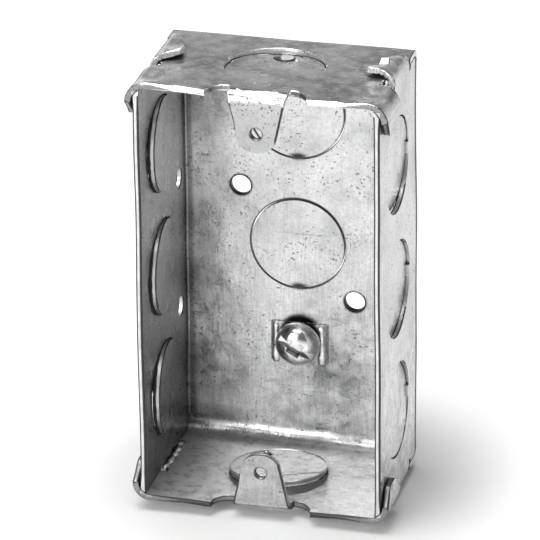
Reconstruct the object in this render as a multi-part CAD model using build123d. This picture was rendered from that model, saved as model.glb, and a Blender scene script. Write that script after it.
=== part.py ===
from build123d import *
import os

# A metal back box: one steel blank, punched and folded into an open-fronted box, with an earthing screw.
# Millimetres and degrees. X runs across the box, Y from the open front to the back, Z upwards.
# The origin is the middle of the outer face of the back.

# Box
box_height = 102.4
box_width = 56.4
box_depth = 38.4
sheet = 1.4
side_bend_inside = 0.6
end_bend_inside = 3.0

# Seam between a side wall and the end panel that closes over it
seam_gap = 0.3
corner_relief_diameter = 2.4
corner_relief_from_back = 9.0

# Tab of a side wall, folded down on the outside of an end panel
tab_from_rim = 14.2
tab_width = 14.8
left_tab_reach = 7.6
right_tab_reach = 6.4
tab_front_taper = 2.8
tab_rear_taper = 2.2
tab_rear_shorter = 3.4
tab_corner_round = 1.0
tab_bend_inside = 2.1
tab_gap = 0.5
tab_slot_clearance = 0.5
tab_slot_inside_wall = 1.2
tab_root = 2.0

# Flap of an end panel, curled round the front corner on the outside of a side wall
flap_width = 12.6
flap_length = 8.4
flap_tip_width = 4.6
flap_tip_from_front = 3.6
flap_corner_round = 2.0
flap_bend_inside = 3.0
flap_stand_off = 0.8
flap_gap = 0.2
flap_clearance = 0.15
flap_root = 4.0
flap_overlap = 1.0

# Ear of an end panel, turned down behind the rim, with a tapped hole for the device's screw
ear_hole_spacing = 83.34
ear_hole_diameter = 3.3
ear_setback = 0.6
ear_base_width = 13.7
ear_tip_width = 7.6
ear_tip_round = 4.2
ear_hole_to_tip = 4.5
ear_bend_inside = 1.5
ear_root = 5.4
ear_side_gap = 0.4
ear_relief_radius = 4.4

# Knockout: a disc punched nearly free, held by one narrow tie and left standing a little into the box.
# Lift moves the whole disc inwards, tilt swings it about its tie and twist turns it across its tie.
knockout_diameter = 22.2
knockout_slit = 0.3
tie_width = 2.8
tie_bite = 0.7
side_knockout_pitch = 30.2
side_knockout_from_rim = 17.6
end_knockout_from_rim = 17.6
back_knockout_height = 32.6
left_knockout_tilts = (4.3, 4.0, 4.6)
right_knockout_lifts = (0.6, 0.8, 0.5)
right_knockout_tilts = (1.4, 1.6, 1.4)
right_knockout_twists = (3.0, 1.0, -3.0)
top_knockout_tilt = 3.4
bottom_knockout_lift = 0.85
bottom_knockout_tilt = 6.7
bottom_tie_turn = 20.0
back_knockout_tilt = 0.9
pry_hole_diameter = 4.8
pry_hole_from_edge = 2.1

# Holes for fixing screws in the back, on a slanting line through its middle
back_hole_circle = 38.1
back_hole_diameter = 4.8
back_hole_angle = 135.0

# Bracket holes in the left wall, between its knockouts
bracket_hole_diameter = 5.0
bracket_hole_spacing = 32.0
bracket_hole_from_back = 6.8

# Earthing pad: a strip of the back, slit along two sides and pressed forward
pad_x = 0.45
pad_z = -24.9
pad_width = 13.4
pad_top_width = 9.8
pad_height = 9.6
pad_raise = 1.3
pad_slit = 0.35
pad_foot = 1.2
pad_bend_inside = 0.8

# Earthing screw: a short neck, then a tall round head with a driving slot and a square recess
screw_x = 0.5
screw_z = -24.1
shank_diameter = 4.7
shank_clearance = 0.05
shank_end_inset = 0.3
screw_seat_gap = 0.1
neck_diameter = 7.4
neck_length = 0.8
head_diameter = 10.3
head_height = 4.1
head_crown_round = 2.4
driver_slot_width = 1.5
driver_slot_depth = 1.1
driver_slot_turn = 28.0
square_recess_width = 2.9
square_recess_depth = 1.8

# Places worked out from the sizes above
half_width = box_width / 2
half_height = box_height / 2
half_sheet = sheet / 2
rim_y = -box_depth
wall_middle_x = half_width - half_sheet
end_middle_z = half_height - half_sheet
back_middle_y = -half_sheet
wall_top_z = half_height - sheet - seam_gap
bend_start_z = half_height - sheet - end_bend_inside
overshoot = 2 * sheet


def block(low, high):
    """A plain block between two opposite corners."""
    size = Vector(*high) - Vector(*low)
    middle = (Vector(*high) + Vector(*low)) / 2
    return Pos(middle) * Box(size.X, size.Y, size.Z)


def bent_strip(plane, points, inside_radius, span, thickness=sheet):
    """The sheet bent along a middle line on a plane, and as wide as span across that plane."""
    middle_line = FilletPolyline(*points, radius=inside_radius + half_sheet)
    return extrude(plane * trace(middle_line, thickness), span / 2, both=True)


def prism(plane, points, rounded, corner_round, span):
    """A block with a straight-sided outline on a plane, some of its corners rounded."""
    outline = Polygon(*points, align=None)
    corners = [outline.vertices().sort_by_distance(points[index])[0] for index in rounded]
    return extrude(plane * fillet(corners, corner_round), span / 2, both=True)


def hole(middle, direction, diameter, length):
    """A round hole through the middle of a panel."""
    return Plane(origin=middle, z_dir=direction) * Cylinder(diameter / 2, length)


def at_both_ends(piece):
    """A piece at the top end, with its reflection at the bottom end."""
    return [piece, mirror(piece, about=Plane.XY)]


def in_four_corners(piece):
    """A piece at the upper right corner, with its reflections at the other three."""
    return at_both_ends(piece) + at_both_ends(mirror(piece, about=Plane.YZ))


def side_channel():
    """The back and the two side walls, ending short of the end panels."""
    points = [
        (-wall_middle_x, rim_y),
        (-wall_middle_x, back_middle_y),
        (wall_middle_x, back_middle_y),
        (wall_middle_x, rim_y),
    ]
    channel = bent_strip(Plane.XY, points, side_bend_inside, box_height)
    behind_bend = block((-half_width, rim_y, -bend_start_z), (half_width, 0, bend_start_z))
    under_ends = block(
        (-half_width, rim_y, -wall_top_z),
        (half_width, -sheet - seam_gap, wall_top_z),
    )
    back_edges = under_ends.edges().filter_by(Axis.X).group_by(Axis.Y)[-1]
    under_ends = fillet(back_edges, end_bend_inside - seam_gap)
    channel = channel & (behind_bend + under_ends)
    relief = hole(
        (0, -corner_relief_from_back, wall_top_z),
        (1, 0, 0),
        corner_relief_diameter,
        box_width + overshoot,
    )
    flap_room = flap_strip(flap_width + 2 * flap_clearance, sheet + 2 * flap_clearance)
    return channel - [*at_both_ends(relief), *in_four_corners(flap_room)]


def end_channel():
    """The back and the two end panels, slotted for the tabs and cut away round the ears."""
    points = [
        (rim_y, -end_middle_z),
        (back_middle_y, -end_middle_z),
        (back_middle_y, end_middle_z),
        (rim_y, end_middle_z),
    ]
    channel = bent_strip(Plane.YZ, points, end_bend_inside, box_width)
    outside = block((-half_width, rim_y, -half_height), (half_width, 0, half_height))
    back_edges = outside.edges().filter_by(Axis.Z).group_by(Axis.Y)[-1]
    channel = channel & fillet(back_edges, side_bend_inside + sheet)
    slot = block(
        (half_width - sheet - tab_slot_inside_wall, rim_y + tab_from_rim - tab_slot_clearance, bend_start_z),
        (half_width + overshoot, rim_y + tab_from_rim + tab_width + tab_slot_clearance, half_height + sheet),
    )
    flap_place = block(
        (half_width - flap_root + flap_overlap, rim_y - sheet, bend_start_z),
        (half_width + overshoot, rim_y + tab_from_rim, half_height + sheet),
    )
    ear_edge_x = ear_base_width / 2 + ear_side_gap
    ear_room = block(
        (-ear_edge_x, rim_y - sheet, bend_start_z),
        (ear_edge_x, rim_y + ear_relief_radius, half_height + sheet),
    )
    for side in (-1, 1):
        ear_room += hole(
            (side * ear_edge_x, rim_y, end_middle_z),
            (0, 0, 1),
            2 * ear_relief_radius,
            2 * sheet,
        )
    return channel - [*in_four_corners(slot + flap_place), *at_both_ends(ear_room)]


def tab(reach):
    """A tab at the upper right corner, from inside the side wall to its end on the end panel."""
    front_y = rim_y + tab_from_rim
    rear_y = front_y + tab_width
    middle_z = half_height + tab_gap + half_sheet
    end_x = half_width - reach
    plane = Plane(origin=(0, (front_y + rear_y) / 2, 0), x_dir=(1, 0, 0), z_dir=(0, -1, 0))
    points = [(wall_middle_x, wall_top_z - tab_root), (wall_middle_x, middle_z), (end_x, middle_z)]
    strip = bent_strip(plane, points, tab_bend_inside, tab_width)
    outline = [
        (half_width + half_sheet, front_y),
        (half_width - sheet, front_y),
        (end_x, front_y + tab_front_taper),
        (end_x + tab_rear_shorter, rear_y - tab_rear_taper),
        (half_width - sheet, rear_y),
        (half_width + half_sheet, rear_y),
    ]
    return strip & prism(Plane.XY, outline, (2, 3), tab_corner_round, 2 * box_height)


def flap_strip(span, thickness):
    """The plain strip of the upper right flap, from inside the end panel to its tip beside the side wall."""
    plane = Plane(origin=(0, rim_y + flap_width / 2, 0), x_dir=(1, 0, 0), z_dir=(0, -1, 0))
    points = [
        (half_width - flap_root, end_middle_z),
        (half_width + flap_stand_off + half_sheet, end_middle_z),
        (half_width + flap_gap + half_sheet, half_height - flap_length),
    ]
    return bent_strip(plane, points, flap_bend_inside, span, thickness)


def flap():
    """The upper right flap, its strip cut to a tip."""
    rear_y = rim_y + flap_width
    tip_front_y = rim_y + flap_tip_from_front
    tip_z = half_height - flap_length
    strip = flap_strip(flap_width, sheet)
    fold_z = half_height - sheet - flap_bend_inside
    outline = [
        (rim_y, half_height + sheet),
        (rim_y, fold_z),
        (tip_front_y, tip_z),
        (tip_front_y + flap_tip_width, tip_z),
        (rear_y, fold_z),
        (rear_y, half_height + sheet),
    ]
    return strip & prism(Plane.YZ, outline, (2, 3), flap_corner_round, 2 * box_width)


def ear():
    """The upper ear, from inside the end panel to its rounded tip."""
    middle_y = rim_y + ear_setback + half_sheet
    hole_z = ear_hole_spacing / 2
    tip_z = hole_z - ear_hole_to_tip
    points = [(rim_y + ear_root, end_middle_z), (middle_y, end_middle_z), (middle_y, tip_z)]
    strip = bent_strip(Plane.YZ, points, ear_bend_inside, ear_base_width)
    outline = [
        (-ear_base_width / 2, half_height),
        (-ear_tip_width / 2, tip_z),
        (ear_tip_width / 2, tip_z),
        (ear_base_width / 2, half_height),
    ]
    shaped = strip & prism(Plane.XZ, outline, (1, 2), ear_tip_round, 2 * box_depth)
    return shaped - hole((0, middle_y, hole_z), (0, 1, 0), ear_hole_diameter, overshoot)


def knockout(middle, towards_tie, inwards, lift=0.0, tilt=0.0, twist=0.0, towards_pry_hole=None):
    """The opening of one knockout, and the disc and tie that stand in it."""
    plane = Plane(origin=middle, x_dir=towards_tie, z_dir=inwards)
    radius = knockout_diameter / 2
    opening = plane * Cylinder(radius + knockout_slit, overshoot)
    disc = Cylinder(radius, sheet)
    if towards_pry_hole is not None:
        turned = Rot(0, 0, Vector(1, 0, 0).get_signed_angle(plane.to_local_coords(middle + towards_pry_hole)))
        disc -= turned * Pos(radius - pry_hole_from_edge, 0, 0) * Cylinder(pry_hole_diameter / 2, overshoot)
    standing_disc = Pos(radius, 0, lift) * Rot(twist, tilt, 0) * Pos(-radius, 0, 0) * disc
    tie = Pos(radius + knockout_slit / 2, 0, 0) * Box(knockout_slit + 2 * tie_bite, tie_width, sheet)
    return opening, plane * (standing_disc + tie)


def side_knockouts():
    """Three knockouts in each side wall, tied at the rear."""
    made = []
    rear = Vector(0, 1, 0)
    for row in range(3):
        left = Vector(-wall_middle_x, rim_y + side_knockout_from_rim, (1 - row) * side_knockout_pitch)
        right = Vector(wall_middle_x, left.Y, left.Z)
        made.append(knockout(left, rear, (1, 0, 0), tilt=left_knockout_tilts[row]))
        made.append(
            knockout(
                right,
                rear,
                (-1, 0, 0),
                lift=right_knockout_lifts[row],
                tilt=right_knockout_tilts[row],
                twist=right_knockout_twists[row],
            )
        )
    return made


def end_knockouts():
    """One knockout in each end panel, with a hole at its rear edge to pry it out by."""
    rear = Vector(0, 1, 0)
    top = Vector(0, rim_y + end_knockout_from_rim, end_middle_z)
    bottom = Vector(0, top.Y, -end_middle_z)
    return [
        knockout(top, -rear, (0, 0, -1), tilt=top_knockout_tilt, towards_pry_hole=rear),
        knockout(
            bottom,
            rear.rotate(Axis.Z, bottom_tie_turn),
            (0, 0, 1),
            lift=bottom_knockout_lift,
            tilt=bottom_knockout_tilt,
            towards_pry_hole=rear,
        ),
    ]


def back_knockouts():
    """Two knockouts in the back, tied at the bottom."""
    made = []
    for z in (0, back_knockout_height):
        middle = Vector(0, back_middle_y, z)
        made.append(knockout(middle, (0, 0, -1), (0, -1, 0), tilt=back_knockout_tilt))
    return made


def earthing_pad():
    """The raised strip that the earthing screw goes through."""
    half_out = pad_width / 2
    half_top = pad_top_width / 2
    raised_y = back_middle_y - pad_raise
    points = [
        (pad_x - half_out - pad_foot, back_middle_y),
        (pad_x - half_out, back_middle_y),
        (pad_x - half_top, raised_y),
        (pad_x + half_top, raised_y),
        (pad_x + half_out, back_middle_y),
        (pad_x + half_out + pad_foot, back_middle_y),
    ]
    strip = bent_strip(Plane.XY.offset(pad_z), points, pad_bend_inside, pad_height)
    screw_hole_diameter = shank_diameter + 2 * shank_clearance
    return strip - hole((screw_x, raised_y, screw_z), (0, 1, 0), screw_hole_diameter, overshoot)


def pad_window():
    """The gap in the back that the pad was pressed out of."""
    half_high = pad_height / 2 + pad_slit
    return block(
        (pad_x - pad_width / 2, -overshoot, pad_z - half_high),
        (pad_x + pad_width / 2, overshoot, pad_z + half_high),
    )


def back_holes():
    """The two fixing holes in the back."""
    holes = []
    for turn in (back_hole_angle, back_hole_angle + 180):
        place = Vector(back_hole_circle / 2, 0, 0).rotate(Axis.Y, -turn)
        holes.append(hole((place.X, back_middle_y, place.Z), (0, 1, 0), back_hole_diameter, overshoot))
    return holes


def bracket_holes():
    """The two holes in the left wall that a bracket can be fixed to."""
    holes = []
    for side in (-1, 1):
        middle = (-wall_middle_x, -bracket_hole_from_back, side * bracket_hole_spacing / 2)
        holes.append(hole(middle, (1, 0, 0), bracket_hole_diameter, overshoot))
    return holes


def box_body():
    """The folded blank, in one piece."""
    knockouts = side_knockouts() + end_knockouts() + back_knockouts()
    body = side_channel() + end_channel()
    body -= [opening for opening, disc in knockouts]
    body -= [pad_window(), *back_holes(), *bracket_holes()]
    right_tabs = at_both_ends(tab(right_tab_reach))
    left_tabs = at_both_ends(mirror(tab(left_tab_reach), about=Plane.YZ))
    body += [*right_tabs, *left_tabs, *in_four_corners(flap()), *at_both_ends(ear()), earthing_pad()]
    body += [disc for opening, disc in knockouts]
    return body


def ground_screw():
    """The earthing screw, its head in front of the pad and its shank short of the back."""
    seat_y = -sheet - pad_raise - screw_seat_gap
    shank_length = -seat_y - shank_end_inset
    shank = Pos(0, 0, shank_length / 2) * Cylinder(shank_diameter / 2, shank_length)
    neck = Pos(0, 0, -neck_length / 2) * Cylinder(neck_diameter / 2, neck_length)
    head = Pos(0, 0, -head_height / 2) * Cylinder(head_diameter / 2, head_height)
    head = fillet(head.edges().group_by(Axis.Z)[0], head_crown_round)
    slot = Pos(0, 0, driver_slot_depth / 2 - head_height) * Box(
        head_diameter, driver_slot_width, driver_slot_depth
    )
    recess = Pos(0, 0, square_recess_depth / 2 - head_height) * Box(
        square_recess_width, square_recess_width, square_recess_depth
    )
    screw = shank + neck + Pos(0, 0, -neck_length) * (head - slot - recess)
    along_back = Plane(origin=(screw_x, seat_y, screw_z), x_dir=(1, 0, 0), z_dir=(0, 1, 0))
    return along_back * Rot(0, 0, driver_slot_turn) * screw


os.makedirs("parts", exist_ok=True)
export_step(box_body(), "parts/box_body.step")
export_step(ground_screw(), "parts/ground_screw.step")
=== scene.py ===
import math

import bmesh
import bpy
from mathutils import Matrix, Vector, noise
from mathutils.bvhtree import BVHTree


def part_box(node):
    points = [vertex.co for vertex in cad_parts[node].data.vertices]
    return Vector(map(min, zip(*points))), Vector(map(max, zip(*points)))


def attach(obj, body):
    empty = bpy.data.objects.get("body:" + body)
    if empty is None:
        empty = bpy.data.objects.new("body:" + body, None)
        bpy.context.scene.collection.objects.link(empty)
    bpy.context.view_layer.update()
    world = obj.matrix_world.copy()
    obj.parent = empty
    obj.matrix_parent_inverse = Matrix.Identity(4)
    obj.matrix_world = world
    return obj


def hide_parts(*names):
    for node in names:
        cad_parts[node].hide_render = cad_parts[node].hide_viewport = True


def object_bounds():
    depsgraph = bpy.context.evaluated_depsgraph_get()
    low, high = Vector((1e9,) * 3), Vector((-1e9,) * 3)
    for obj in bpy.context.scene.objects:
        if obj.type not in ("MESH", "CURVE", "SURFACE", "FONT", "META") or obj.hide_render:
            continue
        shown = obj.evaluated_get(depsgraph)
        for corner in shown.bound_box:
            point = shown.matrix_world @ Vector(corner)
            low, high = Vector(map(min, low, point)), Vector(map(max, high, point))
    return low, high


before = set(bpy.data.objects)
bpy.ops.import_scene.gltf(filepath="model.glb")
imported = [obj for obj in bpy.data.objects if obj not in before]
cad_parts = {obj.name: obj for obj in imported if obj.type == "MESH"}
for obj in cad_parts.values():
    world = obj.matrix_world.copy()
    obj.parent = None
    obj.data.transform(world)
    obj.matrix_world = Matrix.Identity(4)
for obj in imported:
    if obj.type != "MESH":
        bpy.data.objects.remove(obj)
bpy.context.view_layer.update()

# The box
# One blank of zinc-coated steel sheet, punched and then folded into an open box. Tabs and flaps lock
# its corners. The punch leaves bare, rounded edges, and the press leaves the sheet a little wavy.

mm = 0.001
sheet_thickness = 1.4 * mm
skin_depth = 1.3 * sheet_thickness
panel_depth = 2 * sheet_thickness
box_half_height = 51.2 * mm
weld_distance = 0.02 * mm
flat_angle = math.radians(0.5)
sharp_angle = math.radians(38)
flat_face_weight = 100
sheet_skin, rounded_edge, sheared_face = range(3)

# The sheet is cut along a grid so that it can bend, and along a finer one where it is creased.
grid_step = 2.3 * mm
fine_step = grid_step / 3
grid_snap = 0.01 * mm
cell_kinds = 3

# Where long edges are cut, by axis, so that what is at their ends doesn't twist their rounding.
straight_cuts = ((2, -45 * mm), (2, 45 * mm), (0, -19 * mm), (0, 19 * mm))

# How much an edge is rounded, as a share of edge_round.
edge_round = 0.3 * mm
round_segments = 2
sharp_slit = 0.0
fine_edge = 0.45
plain_edge = 1.0
disc_edge = 1.2
ear_edge = 1.3
rim_edge = 1.4
curled_edge = 1.5
rolled_edge = 3.0

# The knockouts, their ties and the ear holes, and how near an edge has to be to belong to one.
knockout_radius = 11.1 * mm
knockout_slit = 0.3 * mm
slit_band = 0.4 * mm
back_knockout_heights = (0, 32.6 * mm)
side_knockout_heights = (-30.2 * mm, 0, 30.2 * mm)
knockout_y = -20.8 * mm
tie_from_y = -12.5 * mm
tie_band = 1.0 * mm
ear_hole_height = 83.34 / 2 * mm
ear_hole_band = 2.2 * mm
front_edge_y = -36.5 * mm
ear_half_width = 8.5 * mm

# The top knockout's slit is shut in front, where its disc still lies level with the panel.
shut_from_y = -21.5 * mm
shut_length = 4 * mm
shut_share = 0.85

# The two slits of the screw's pad are pressed shut.
pad_middle = Vector((0.45 * mm, -1.4 * mm, -24.9 * mm))
pad_slits_from_middle = 4.975 * mm
pad_half_width = 8 * mm

# The waves that the press leaves all over the sheet. They die away round the screw's pad.
wave_length = 26 * mm
wave_height = 0.32 * mm
wave_seed = 3
calm_reach = 9 * mm
noise.seed_set(wave_seed)

# Dents and bulges, in mm: the middle, how far it reaches, and which way the sheet is pushed.
dents = (
    ((-25.0, -38.4, 50.6), 3.2, (0, 0, 0.45)),
    ((25.0, -38.4, 50.6), 3.2, (0, 0, 0.45)),
    ((-25.6, -31.4, 51.0), 3.2, (0, 0, -1.1)),
    ((25.2, -30.9, 51.0), 3.4, (0, 0, -1.3)),
    ((27.4, -23.6, 51.2), 2.2, (0.2, 0.5, 0.7)),
    ((27.4, -18.5, 51.2), 2.6, (0.2, 0, 0.7)),
    ((27.2, -13.5, 51.2), 2.6, (0.2, 0, 0.5)),
    ((-17.0, -38.4, 51.2), 7.0, (0, 0, 0.3)),
    ((8.0, -2.0, -47.0), 6.0, (0, -0.5, 0.3)),
    ((-12.0, -2.0, -45.0), 7.0, (0, 0.45, 0)),
    ((18.0, -3.0, -49.5), 5.0, (0, 0.2, -0.5)),
)
# Curls of the four tabs, which leave the panels under them as they are, given for the two at the top.
curls = (
    ((-20.6, -21.4, 52.4), 3.2, (0, 0, 1.1)),
    ((-23.6, -17.2, 52.4), 2.6, (0, 0, -0.3)),
)
curl_from_z = box_half_height + 0.25 * mm
# The two pleats along a right tab, from its rear to its front, in mm: where a fold of it is, and how high
# the tab stands there. They fade towards the tab's root, and its end is drawn in.
pleats = ((-9.4, 0.0), (-10.8, -0.9), (-16.2, 0.6), (-17.0, -0.7), (-21.6, 0.6), (-26.0, 0.6))
pleat_root_x = 28.2 * mm
pleat_fade = 4.0 * mm
drawn_from_x = 25.2 * mm
drawn_length = 3.2 * mm
drawn_end = Vector((-0.9, -0.5, 0)) * mm
# The front corners are creased too.
crease_from_z = 48 * mm
crease_from_x = 21 * mm
crease_to_y = -27 * mm


def swell(spot, bumps):
    """How far a table of bumps pushes a spot."""
    moved = Vector((0, 0, 0))
    for middle, reach, push in bumps:
        away = (spot - Vector(middle) * mm).length / (reach * mm)
        moved += Vector(push) * mm * math.exp(-away * away)
    return moved


def share_of(value, length):
    """How much of a length a value covers, from none to all."""
    return min(max(value / length, 0), 1)


def shut_slit(spot):
    """How far a spot at the top knockout's slit moves to shut it."""
    from_middle = Vector((spot.x, spot.y - knockout_y, 0))
    away = from_middle.length - knockout_radius - knockout_slit / 2
    if spot.z < box_half_height - panel_depth or abs(away) > slit_band:
        return Vector((0, 0, 0))
    share = shut_share * share_of(shut_from_y - spot.y, shut_length)
    return from_middle.normalized() * (-away * share)


def pad_slit_away(spot):
    """How far a spot lies outside the nearer slit of the screw's pad, or None if it isn't near one."""
    from_pad = spot - pad_middle
    away = abs(from_pad.z) - pad_slits_from_middle
    is_on_pad = abs(from_pad.x) < pad_half_width and abs(from_pad.y) < panel_depth
    return away if is_on_pad and abs(away) < slit_band else None


def shut_pad_slit(spot):
    """How far a spot at a slit of the screw's pad moves to shut it."""
    away = pad_slit_away(spot)
    if away is None:
        return Vector((0, 0, 0))
    return Vector((0, 0, -away * shut_share * math.copysign(1, spot.z - pad_middle.z)))


def pleat(spot):
    """How far a spot on a right tab is moved by the tab's pleats and by its drawn end."""
    rise = 0.0
    for (rear, rear_height), (front, front_height) in zip(pleats, pleats[1:]):
        if front * mm <= spot.y < rear * mm:
            share = share_of(rear * mm - spot.y, (rear - front) * mm)
            rise = (rear_height + (front_height - rear_height) * share) * mm
    fade = share_of(pleat_root_x - spot.x, pleat_fade)
    rise *= fade * fade * (3 - 2 * fade)
    return drawn_end * share_of(drawn_from_x - spot.x, drawn_length) + Vector((0, 0, rise))


def press(spot):
    """Where the press leaves a point of the straight sheet."""
    calm = 1 - math.exp(-((spot - pad_middle).length / calm_reach) ** 4)
    moved = spot + noise.noise_vector(spot / wave_length) * (wave_height * calm)
    moved += swell(spot, dents) + shut_slit(spot) + shut_pad_slit(spot)
    if abs(spot.z) > curl_from_z:
        as_on_top = Vector((spot.x, spot.y, abs(spot.z)))
        curled = swell(as_on_top, curls)
        if spot.x > 0:
            curled += pleat(spot)
        moved += Vector((curled.x, curled.y, math.copysign(curled.z, curled.z * spot.z)))
    return moved


def sort_faces(shape):
    """Tells the skin of the sheet from its sheared edges by how deep the metal is behind each face."""
    tree = BVHTree.FromBMesh(shape)
    largest = {}
    for loops in shape.calc_loop_triangles():
        corners = [loop.vert.co for loop in loops]
        area = (corners[1] - corners[0]).cross(corners[2] - corners[0]).length
        face = loops[0].face
        if area > largest.get(face, (0,))[0]:
            largest[face] = (area, sum(corners, Vector()) / 3)
    just_under = 0.01 * mm
    for face, (area, middle) in largest.items():
        depth = tree.ray_cast(middle - face.normal * just_under, -face.normal)[3]
        is_skin = depth is not None and depth < skin_depth
        face.material_index = sheet_skin if is_skin else sheared_face


def at_slit(across, along, middles, band=slit_band):
    """Whether a spot on a panel lies at the slit of one of the panel's knockouts."""
    for middle in middles:
        away = math.hypot(across, along - middle) - knockout_radius - knockout_slit / 2
        if abs(away) < band:
            return True
    return False


def edge_share(spot):
    """How much the edge at a spot is rounded."""
    if spot.y > -panel_depth and at_slit(spot.x, spot.z, back_knockout_heights):
        return sharp_slit
    if pad_slit_away(spot) is not None:
        return sharp_slit
    if abs(spot.z) > box_half_height - panel_depth and at_slit(spot.x, spot.y, [knockout_y]):
        is_shut = spot.z > 0 and spot.y < shut_from_y
        return sharp_slit if is_shut else disc_edge
    behind = spot.y - knockout_y
    if spot.y > tie_from_y and at_slit(behind, spot.z, side_knockout_heights, tie_band):
        return sharp_slit
    if at_slit(behind, spot.z, side_knockout_heights):
        return disc_edge
    if math.hypot(spot.x, abs(spot.z) - ear_hole_height) < ear_hole_band:
        return fine_edge
    if abs(spot.z) > curl_from_z:
        return curled_edge
    if spot.y < front_edge_y and abs(spot.z) > box_half_height - sheet_thickness / 2:
        return rolled_edge
    if spot.y < front_edge_y:
        return ear_edge if abs(spot.x) < ear_half_width else rim_edge
    return plain_edge


def weigh_edges(shape):
    """Marks every sharp edge for rounding."""
    weights = shape.edges.layers.float.new("bevel_weight_edge")
    for edge in shape.edges:
        if edge.calc_face_angle(0) > sharp_angle:
            share = edge_share((edge.verts[0].co + edge.verts[1].co) / 2)
            edge[weights] = share / rolled_edge
            edge.smooth = share > 0


def rounded(mesh):
    """The mesh with its marked edges rounded."""
    blank = bpy.data.objects.new("blank", mesh)
    bpy.context.scene.collection.objects.link(blank)
    rounding = blank.modifiers.new("rounded edges", "BEVEL")
    rounding.limit_method = "WEIGHT"
    rounding.offset_type = "ABSOLUTE"
    rounding.loop_slide = False
    rounding.width = edge_round * rolled_edge
    rounding.segments = round_segments
    rounding.use_clamp_overlap = False
    rounding.material = rounded_edge
    seen = bpy.context.evaluated_depsgraph_get()
    finished = bpy.data.meshes.new_from_object(blank.evaluated_get(seen))
    bpy.data.objects.remove(blank)
    return finished


def is_creased(spot):
    """Whether a spot is on a tab or at a front corner, where the metal is creased more finely."""
    is_corner = abs(spot.z) > crease_from_z and abs(spot.x) > crease_from_x and spot.y < crease_to_y
    return abs(spot.z) > curl_from_z or is_corner


def all_parts(shape):
    """The vertices, edges and faces of a mesh."""
    return shape.verts[:] + shape.edges[:] + shape.faces[:]


def creased_parts(shape):
    """The vertices, edges and faces that lie wholly where the metal is creased."""
    verts = {vertex for vertex in shape.verts if is_creased(vertex.co)}
    edges = [edge for edge in shape.edges if all(vertex in verts for vertex in edge.verts)]
    faces = [face for face in shape.faces if all(vertex in verts for vertex in face.verts)]
    return list(verts) + edges + faces


def cut_at(shape, axis, along, parts):
    """Cuts parts of a mesh by a plane across an axis, and returns the parts with what the cut adds."""
    across = Vector((0, 0, 0))
    across[axis] = 1
    plane = across * along
    cut = bmesh.ops.bisect_plane(shape, geom=parts, dist=grid_snap, plane_co=plane, plane_no=across)
    return cut["geom"]


def cut_evenly(shape, parts, axes, step, lowest, highest):
    """Cuts parts of a mesh along evenly spaced planes across some axes."""
    for axis in axes:
        for count in range(1, math.ceil((highest[axis] - lowest[axis]) / step)):
            parts = cut_at(shape, axis, lowest[axis] + count * step, parts)


def grid_cut(shape, lowest, highest):
    """Cuts a mesh into the cells of a grid, so that its flat panels can take dents, one face to a cell."""
    bmesh.ops.triangulate(shape, faces=shape.faces)
    cut_evenly(shape, all_parts(shape), range(3), grid_step, lowest, highest)
    cut_evenly(shape, creased_parts(shape), range(2), fine_step, lowest, highest)
    cell_codes = cell_kinds ** 3
    for face in shape.faces:
        middle = face.calc_center_median()
        step = fine_step if is_creased(middle) else grid_step
        for along in middle - lowest:
            face.material_index = face.material_index * cell_kinds + math.floor(along / step) % cell_kinds
    bmesh.ops.dissolve_limit(
        shape, angle_limit=flat_angle, verts=shape.verts, edges=shape.edges, delimit={"MATERIAL"}
    )
    for face in shape.faces:
        face.material_index //= cell_codes


def finished_mesh(name, shape):
    """The mesh of a shape, which is then let go."""
    mesh = bpy.data.meshes.new(name)
    shape.to_mesh(mesh)
    shape.free()
    return mesh


def pressed_box():
    """The folded sheet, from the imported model's own faces."""
    shape = bmesh.new()
    shape.from_mesh(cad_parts["box_body"].data)
    bmesh.ops.remove_doubles(shape, verts=shape.verts, dist=weld_distance)
    bmesh.ops.dissolve_limit(shape, angle_limit=flat_angle, verts=shape.verts, edges=shape.edges)
    for axis, along in straight_cuts:
        cut_at(shape, axis, along, all_parts(shape))
    sort_faces(shape)
    weigh_edges(shape)
    mesh = bpy.data.meshes.new("straight_box")
    for kind in (sheet_skin, rounded_edge, sheared_face):
        mesh.materials.append(None)
    shape.to_mesh(mesh)
    shape.clear()
    shape.from_mesh(rounded(mesh))
    grid_cut(shape, *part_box("box_body"))
    for vertex in shape.verts:
        vertex.co = press(vertex.co)
    for face in shape.faces:
        face.smooth = True
    return finished_mesh("pressed_box", shape)


def place(name, mesh, body, slot, *materials):
    """Puts a mesh in the scene as a piece that rides on a body."""
    piece = bpy.data.objects.new(name, mesh)
    bpy.context.scene.collection.objects.link(piece)
    for material in materials:
        mesh.materials.append(material)
    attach(piece, body)
    return piece


def add_node(tree, kind, **settings):
    """One shader node with its settings."""
    node = tree.nodes.new(kind)
    for name, value in settings.items():
        setattr(node, name, value)
    return node


def feed(tree, socket, source):
    """Links an output to a socket, or sets the socket to a plain value."""
    if isinstance(source, bpy.types.NodeSocket):
        tree.links.new(source, socket)
    else:
        socket.default_value = source


def maths(tree, operation, *values):
    """The result of one sum on some values."""
    node = add_node(tree, "ShaderNodeMath", operation=operation)
    for socket, value in zip(node.inputs, values):
        feed(tree, socket, value)
    return node.outputs[0]


def multiplied(tree, first, *others):
    """Some values multiplied together."""
    for other in others:
        first = maths(tree, "MULTIPLY", first, other)
    return first


def highest_of(tree, first, *others):
    """The highest of some values."""
    for other in others:
        first = maths(tree, "MAXIMUM", first, other)
    return first


def along_axes(tree, vector):
    """The three numbers of a vector."""
    node = add_node(tree, "ShaderNodeSeparateXYZ")
    feed(tree, node.inputs[0], vector)
    return node.outputs[0], node.outputs[1], node.outputs[2]


def facing_axes(tree):
    """How much the surface faces along each axis, from -1 to 1."""
    return along_axes(tree, add_node(tree, "ShaderNodeNewGeometry").outputs["Normal"])


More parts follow.
